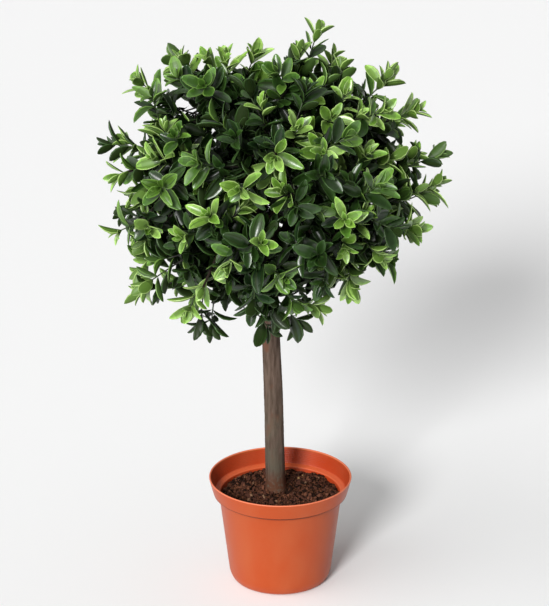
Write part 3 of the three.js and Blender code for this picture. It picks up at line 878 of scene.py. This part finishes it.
sprays = {
    # pairs of leaves back from the tip of a shoot: distance, splay, length
    "pairs": [
        (0, 11, 9.5), (1.2, 24, 14), (3.2, 36, 18), (6.5, 47, 20.5), (11, 56, 21), (16.5, 63, 21),
        (23, 69, 20.5), (30.5, 74, 20), (39, 78, 19.5), (49, 82, 19), (60, 84, 18.5),
    ],
    "sidePairs": 7,  # how many of the pairs a side shoot has
    "tipAges": (0.68, 0.2, 0.12),  # shares of outer sprays that are fresh, grown and old
    "sideAges": (0.32, 0.3, 0.38),  # and of side sprays
    # where fresh sprays stand closer or farther apart: azimuth, elevation, gain, focus
    "freshPlaces": [
        (0, 80, 0.5, 6), (-176, 13, 1.2, 10), (0, 44, 0.3, 6), (-141, -38, 0.5, 8),
        (-142, 10, 0.9, 14), (-120, 34, -0.95, 15), (-98, 22, 0.5, 16), (-88, 39, 1.2, 26),
        (-50, 35, 1.2, 24), (-48, -2, 2.5, 22), (-76, 29, -0.7, 24), (-60, 66, -0.6, 10),
        (-84, -24, -0.6, 14), (-50, -25, -0.3, 8),
    ],
    "freshPatch": (42, 1, 1.5, 9),  # patches of fresh sprays: size, seed, strength, shift
    "mostFresh": 0.92,
    "freshPairs": 3,  # pairs behind the first that are young too, or one more
    "toneSpread": 0.2,  # how far a leaf strays from its spray's tone
    "missing": (0.03, 0.15, 0.28),  # shares gone of the first three pairs, the next three, the rest
    "hangingZ": 263,  # sprays that end below this height take the old dark tones: painted shade under the ball
    "depthAt": 0.6,  # a leaf's depth is taken at this share of its length
    "oldDepth": 0.12,  # leaves this far in from the outline are old
    "shadeDepth": 0.2,  # and from here on they are in the dark
    "seed": 2205,
}

# each kind's tones, the colours of its rim and underside, its roughness and gloss
leafKinds = {
    "fresh": {
        "tones": [(131, 175, 64), (114, 160, 52), (152, 193, 92), (104, 148, 45)],
        "rim": (168, 199, 112), "under": (86, 117, 45),
        "roughness": 0.35, "gloss": 0.9,
    },
    "grown": {
        "tones": [(79, 121, 38), (67, 106, 33), (95, 136, 45)],
        "rim": (113, 149, 66), "under": (60, 86, 35),
        "roughness": 0.32, "gloss": 0.75,
    },
    "old": {
        "tones": [(40, 69, 22), (34, 60, 19), (49, 79, 28), (31, 56, 25)],
        "rim": (57, 86, 38), "under": (34, 49, 18),
        "roughness": 0.3, "gloss": 0.54,
    },
    "shaded": {
        "tones": [(17, 34, 8), (23, 42, 11)],
        "rim": (35, 53, 21), "under": (17, 28, 8),
        "roughness": 0.33, "gloss": 0.26,
    },
}


# moulded leaves: one plain colour each, with a gloss that varies a little
def leafFinish(name, colour, roughness, gloss):
    finish = Finish(name, roughness, gloss)
    finish.colour(colour)
    size, detail, down, up = leaf["sheen"]
    finish.roughness(finish.blotches(size, detail), roughness - down, roughness + up)
    finish.relief(*leaf["grain"])
    return finish.material


# A leaf is a closed lens. Across it, s runs from -1 to 1 on top and back below; along it, v
# runs from the stalk to the tip. The half width is v^a (1-v)^b over its largest value. The
# height is cup times the half width times (even |s| + (1 - even) s²), less curl v² of the
# length, and the lower face lies under the upper by the thickness, which thins outwards.
def leafShapes(root, along, face, length, slimness, cup, curl):
    v = np.array(leaf["rows"])
    blunt, sharp = leaf["outline"]
    half = v**blunt * (1 - v) ** sharp
    half = half[None] / half.max() * slimness[:, None] / 2
    rim, middle = leaf["rim"], leaf["middle"]
    s = np.array([-1, -rim, -middle, 0, middle, rim, 1, rim, 0, -rim])
    below = np.array([0] * 7 + [1] * 3)
    size = length[:, None, None]
    across = half[..., None] * s * size
    bowl = leaf["evenCup"] * np.abs(s) + (1 - leaf["evenCup"]) * s**2
    lift = cup[:, None, None] * half[..., None] * bowl * size
    lift = lift - curl[:, None, None] * v[None, :, None] ** 2 * size
    thick = leaf["thickness"] * np.sqrt(np.sin(np.pi * v))[None, :, None]
    thick = thick * (1 - leaf["thinning"] * s**2)
    lift = lift - below * thick
    side = np.cross(along, face)
    grid = (
        root[:, None, None]
        + along[:, None, None] * (v[None, :, None] * size)[..., None]
        + side[:, None, None] * across[..., None]
        + face[:, None, None] * lift[..., None]
    )
    tip = root + along * length[:, None] - face * (curl * length)[:, None]
    return np.concatenate([root[:, None], grid.reshape(len(root), -1, 3), tip[:, None]], 1)


# The faces of a leaf, and the part each belongs to. A blade's parts are the levels nearest
# to base + lengthwise v² + across |s|; after them come the rim and the underside's two parts.
def leafFaces():
    rows, rim, middle = leaf["rows"], leaf["rim"], leaf["middle"]
    count = len(leaf["levels"])
    s = np.array([1, (rim + middle) / 2, middle / 2, middle / 2, (rim + middle) / 2, 1, 0, 0, 0, 0])
    around = len(s)
    v = (np.array([0.0, *rows]) + np.array([*rows, 1.0]))[:, None] / 2
    base, lengthwise, across = leaf["shading"]
    # darker at the stalk and the midrib: partly the leaf's own tone, partly painted shade where the
    # leaves crowd at the stalk
    bright = base + lengthwise * v**2 + across * s
    part = np.abs(bright[..., None] - leaf["levels"]).argmin(-1)
    part[:, [0, 5, 6, 9]] = count
    part[:, 7:9] = count + 1 + (v > leaf["underSplit"])
    quads = ringQuads(len(rows), around) + 1
    k = np.arange(around)
    onward = (k + 1) % around
    foot = np.stack([np.zeros(around, int), onward + 1, k + 1], -1)
    last = 1 + (len(rows) - 1) * around
    tip = np.stack([k + last, onward + last, np.full(around, 1 + len(rows) * around)], -1)
    return quads, np.concatenate([foot, tip]), part[1:-1].ravel(), part[[0, -1]].ravel()


# The leaves of the shoots: opposite pairs, each pair a quarter turn on from the last. A leaf
# points along up cos(splay) + outward sin(splay), and is rolled about itself a little.
def leafPlaces(limbs, pairCount, rng):
    pairs, strays = np.array(sprays["pairs"][:pairCount]), leaf["strays"]
    chord = np.linalg.norm(np.diff(limbs, axis=1), axis=-1).sum(1)
    share = np.clip(1 - pairs[:, 0] / chord[:, None], leaf["lowest"], 1)
    root, up = alongLimb(limbs, share)
    side = squareTo(up, unit(rng.normal(size=(len(limbs), 1, 3))))
    shape = (len(limbs), pairCount, 2)
    order = np.arange(pairCount)[:, None]
    turn = np.pi / 2 * order + np.pi * np.arange(2) + strays["turn"] * rng.normal(size=shape)
    outward = turnedOn(side[:, :, None], np.cross(up, side)[:, :, None], turn)
    splay = np.radians(pairs[:, 1, None] + strays["splay"] * rng.normal(size=shape))[..., None]
    up = up[:, :, None]
    along = up * np.cos(splay) + outward * np.sin(splay)
    face = up * np.sin(splay) - outward * np.cos(splay)
    first, more = strays["roll"]
    face = turnedOn(face, np.cross(along, face), (first + more * order) * rng.normal(size=shape))
    length = 1 + strays["length"] * rng.normal(size=shape).clip(*strays["most"])
    root = np.broadcast_to(root[:, :, None], along.shape) + along * leaf["stalk"]
    return root, along, face, pairs[:, 2, None] * length


# The share of the sprays that is fresh: swelled at each place, and times 1 + strength
# (n - 0.5), where n is patchy noise over front and back.
def freshShare(ends, share):
    fresh = swelled(share, unit(ends - crownCentre), sprays["freshPlaces"])
    size, seed, strength, shift = sprays["freshPatch"]
    x, y, z = ends.T
    patches = patchyNoise(x / size + shift, z / size + shift * np.sign(y), seed)
    return np.minimum(fresh * (1 + strength * (patches - 0.5)), sprays["mostFresh"])


# Draws what kind each spray is, and deals its tones: fresh sprays have fresh leaves at the
# tip, grown ones mid green, and further back all leaves are old.
def dealLeaves(limbGroups):
    rng = np.random.default_rng(sprays["seed"])
    found = []
    for limbs, pairCount, ages in limbGroups:
        root, along, face, length = leafPlaces(limbs, pairCount, rng)
        count = len(limbs)
        fresh = freshShare(limbs[:, 2], ages[0])
        grown = fresh + (1 - fresh) * ages[1] / (ages[1] + ages[2])
        draw = rng.random(count)
        spray = (draw > fresh).astype(int) + (draw > grown)
        # sprays hanging low get the old, dark tones: painted shade under the ball
        spray = np.where(limbs[:, 2, 2] < sprays["hangingZ"], 2, spray)[:, None]
        pair = np.arange(pairCount)[None]
        freshDepth = sprays["freshPairs"] + rng.integers(0, 2, count)[:, None]
        kind = np.where(pair <= freshDepth, spray, 2)
        kind = np.where((pair == freshDepth + 1) & (spray == 0), 1, kind)
        tone = rng.random((count, 3))[np.arange(count)[:, None], kind]
        kind, tone = (np.repeat(a[..., None], 2, -1) for a in (kind, tone))
        tone = (tone + sprays["toneSpread"] * rng.normal(size=tone.shape)).clip(0, 0.999)
        missing = np.choose(np.minimum(pair // 3, 2), sprays["missing"])[..., None]
        there = rng.random(kind.shape) > missing
        found.append([a[there] for a in (root, along, face, length, kind, tone)])
    root, along, face, length, kind, tone = (np.concatenate(part) for part in zip(*found))
    out = root + sprays["depthAt"] * along * length[:, None] - crownCentre
    sunk = 1 - np.linalg.norm(out, axis=-1) / crownReach(unit(out))
    kind = np.where((sunk > sprays["oldDepth"]) & (kind == 1), 2, kind)
    kind = np.where((sunk > sprays["shadeDepth"]) & (kind > 0), 3, kind)
    shape = [between(leaf[part], rng.random(len(root))) for part in ("slimness", "cup", "curl")]
    return root, along, face, length, kind, tone, shape


# Sight lines where the sky shows through the ball: x and z at the middle, and half width.
openings = {
    "slope": 20.96,  # degrees down towards the back
    "lines": [
        (-65, 392, 1.2), (-55.5, 387, 1), (-39, 372.5, 1), (-80, 420, 4), (-70, 414, 3),
    ],
}


# how clear each leaf is of the openings, whose lines all slope down towards the back
def clearOfOpenings(shapes):
    slope = math.radians(openings["slope"])
    sideways = shapes[..., 0]
    height = (shapes[..., 2] + shapes[..., 1] * math.tan(slope)) * math.cos(slope)
    clear = np.full(len(shapes), True)
    for x, z, half in openings["lines"]:
        off = np.hypot(sideways - x, height - z * math.cos(slope))
        clear &= (off > half).all(1)
    return clear


# the materials of one kind of leaf: its tones at each level, its rim and its underside
def leafMaterials(name, look):
    roughness, gloss = look["roughness"], look["gloss"]
    rimDuller, underDuller = leaf["duller"]
    materials = [
        leafFinish(f"{name}Leaf{letter}{level + 1}", paint(colour, share), roughness, gloss)
        for level, share in enumerate(leaf["levels"])
        for letter, colour in zip("ABCD", look["tones"])
    ]
    materials.append(leafFinish(f"{name}Rim", paint(look["rim"]), roughness + rimDuller, gloss))
    for end, share in leaf["underShares"]:
        under = paint(look["under"], share)
        materials.append(leafFinish(f"{name}Under{end}", under, roughness + underDuller, gloss / 2))
    return materials


# the leaves that are clear of the trunk and the openings, in pieces by their kind
def makeLeaves(limbGroups):
    root, along, face, length, kind, tone, shape = dealLeaves(limbGroups)
    shapes = leafShapes(root, along, face, length, *shape)
    top = trunkPoints[-1, 2]
    off = shapes - trunkAt(np.clip(shapes[..., 2], 0, top))
    off = np.linalg.norm(off[..., :2], axis=-1)
    clear = (off > trunk["footRadius"] + leaf["trunkGap"]).all(1) | (shapes[..., 2].min(1) > top)
    clear &= clearOfOpenings(shapes)
    quads, triangles, quadPart, trianglePart = leafFaces()
    corners, levels, most = shapes.shape[1], len(leaf["levels"]), leaf["mostInPiece"]
    print("leaves:", int(clear.sum()))
    for number, (name, look) in enumerate(leafKinds.items()):
        materials, amount = leafMaterials(name, look), len(look["tones"])
        index = np.flatnonzero(clear & (kind == number))
        for first in range(0, len(index), most):
            own = index[first : first + most]
            start = (corners * np.arange(len(own)))[:, None, None]
            pick = (tone[own] * amount).astype(int)[:, None]
            choice = [
                np.where(part < levels, pick + amount * part, part + (amount - 1) * levels).ravel()
                for part in (quadPart, trianglePart)
            ]
            faces = [(part[None] + start).reshape(-1, part.shape[1]) for part in (quads, triangles)]
            points, choice = shapes[own].reshape(-1, 3), np.concatenate(choice)
            pieceName = f"{name}Leaves" + (f"{first // most + 1}" if first else "")
            piece = makePiece(pieceName, points, faces, materials, choice)
            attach(piece, "root")
            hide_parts(*massNodes)


studio = {
    "eye": (0, -2.0, 1.0134),
    "tilt": 20.96,  # degrees down
    "turn": 0.14,
    "lens": 155.3,
    "sky": 0.17,
    # each lamp's direction of light, width in degrees and strength
    "lamps": {
        "keyLight": ((0.242, 0.695, -0.352), 15, 3.4),  # from the front, low and a little left
        "sideLight": ((0.66, 0.4, -0.66), 60, 1.2),  # from the left, higher
        "topLight": ((0.05, -0.25, -1), 100, 0.6),  # light thrown back from above
    },
    "paper": (240, 240, 240),
    "paperRoughness": 0.9,
    "paperGloss": 0.1,
    "floorHalf": 12000,
}


# the camera, an even pale sky, the lamps and a paper floor
def makeStudio():
    scene = bpy.context.scene
    scene.view_settings.view_transform = "Standard"
    camera = bpy.data.cameras.new("studioCamera")
    camera.lens = studio["lens"]
    eye = addObject("studioCamera", camera)
    eye.location = studio["eye"]
    eye.rotation_euler = (math.radians(90 - studio["tilt"]), 0, math.radians(studio["turn"]))
    scene.camera = eye

    world = bpy.data.worlds.new("softSky")
    world.use_nodes = True
    sky = world.node_tree.nodes["Background"]
    sky.inputs["Color"].default_value = (1, 1, 1, 1)
    sky.inputs["Strength"].default_value = studio["sky"]
    scene.world = world

    # wide soft lamps far off, whose light falls evenly along one direction
    for name, (along, width, strength) in studio["lamps"].items():
        light = bpy.data.lights.new(name, "SUN")
        light.angle = math.radians(width)
        light.energy = strength
        lamp = addObject(name, light)
        lamp.rotation_euler = Vector(along).to_track_quat("-Z", "Y").to_euler()

    paper = Finish("palePaper", studio["paperRoughness"], studio["paperGloss"])
    paper.colour(paint(studio["paper"]))
    corners = np.array([(-1, -1, 0), (1, -1, 0), (1, 1, 0), (-1, 1, 0)]) * studio["floorHalf"]
    floor = makePiece("paperFloor", corners, [np.arange(4)[None]], [paper.material], smooth=False)


makeStudio()
makePot()
print("pot done")
makeSoil()
makeCrumbs()
print("soil done")
makeTrunk(barkFinish("greyBark"))
boughLines = boughLimbs()
stemLines, twigLines = growStemsAndTwigs(boughLines)
twigLines = risingTips(twigLines)
sideLines = risingTips(growSideShoots(np.concatenate([stemLines, twigLines])))
makeBoughs(boughLines, stemLines, barkFinish("shadedBark", boughs["shade"]))
makeTwigs(np.concatenate([twigLines, sideLines]))
print("limbs done:", len(twigLines), "twigs and", len(sideLines), "side shoots")
outerLines = np.concatenate([stemLines, twigLines])
makeLeaves([
    (outerLines, len(sprays["pairs"]), sprays["tipAges"]),
    (sideLines, sprays["sidePairs"], sprays["sideAges"]),
])
print("leaves done")
